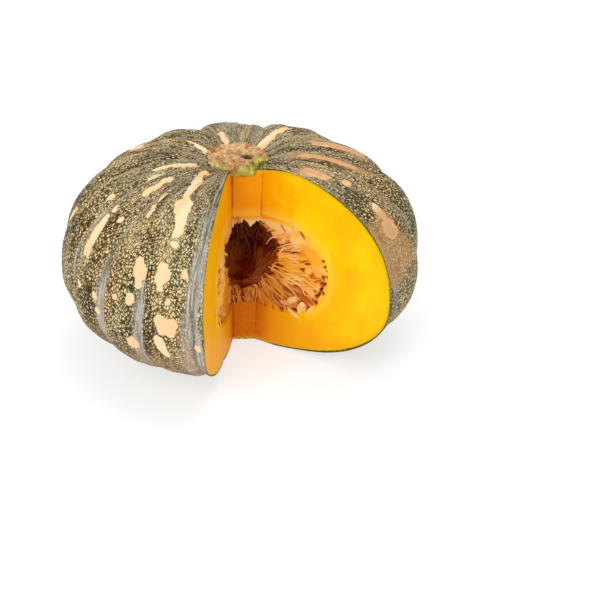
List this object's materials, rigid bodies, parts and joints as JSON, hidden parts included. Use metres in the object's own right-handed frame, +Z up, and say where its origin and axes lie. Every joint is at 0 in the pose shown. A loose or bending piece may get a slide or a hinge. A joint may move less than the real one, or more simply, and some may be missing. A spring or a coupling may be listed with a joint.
{
  "type": "cut pumpkin",
  "caption": "Ribbed winter pumpkin with one wedge cut out, showing its flesh, stringy pulp, seeds and hollow; rests on its base.",
  "frame": {"origin": "on the stem's axis, in the plane of the flat spot that the pumpkin stands on", "axes": "+Z up along the stem's axis; the missing wedge opens towards -Y and +X"},
  "size_m": [0.2414, 0.2381, 0.1363],
  "materials": {
    "rind": "waxy grey green skin with cream flecks, over yellow flesh",
    "pulp": "moist orange strings with cream seeds",
    "stem": "dry cork"
  },
  "bodies": {
    "root": {"fruit": "rind", "pulp": "pulp", "stem": "stem"}
  },
  "joints": []
}
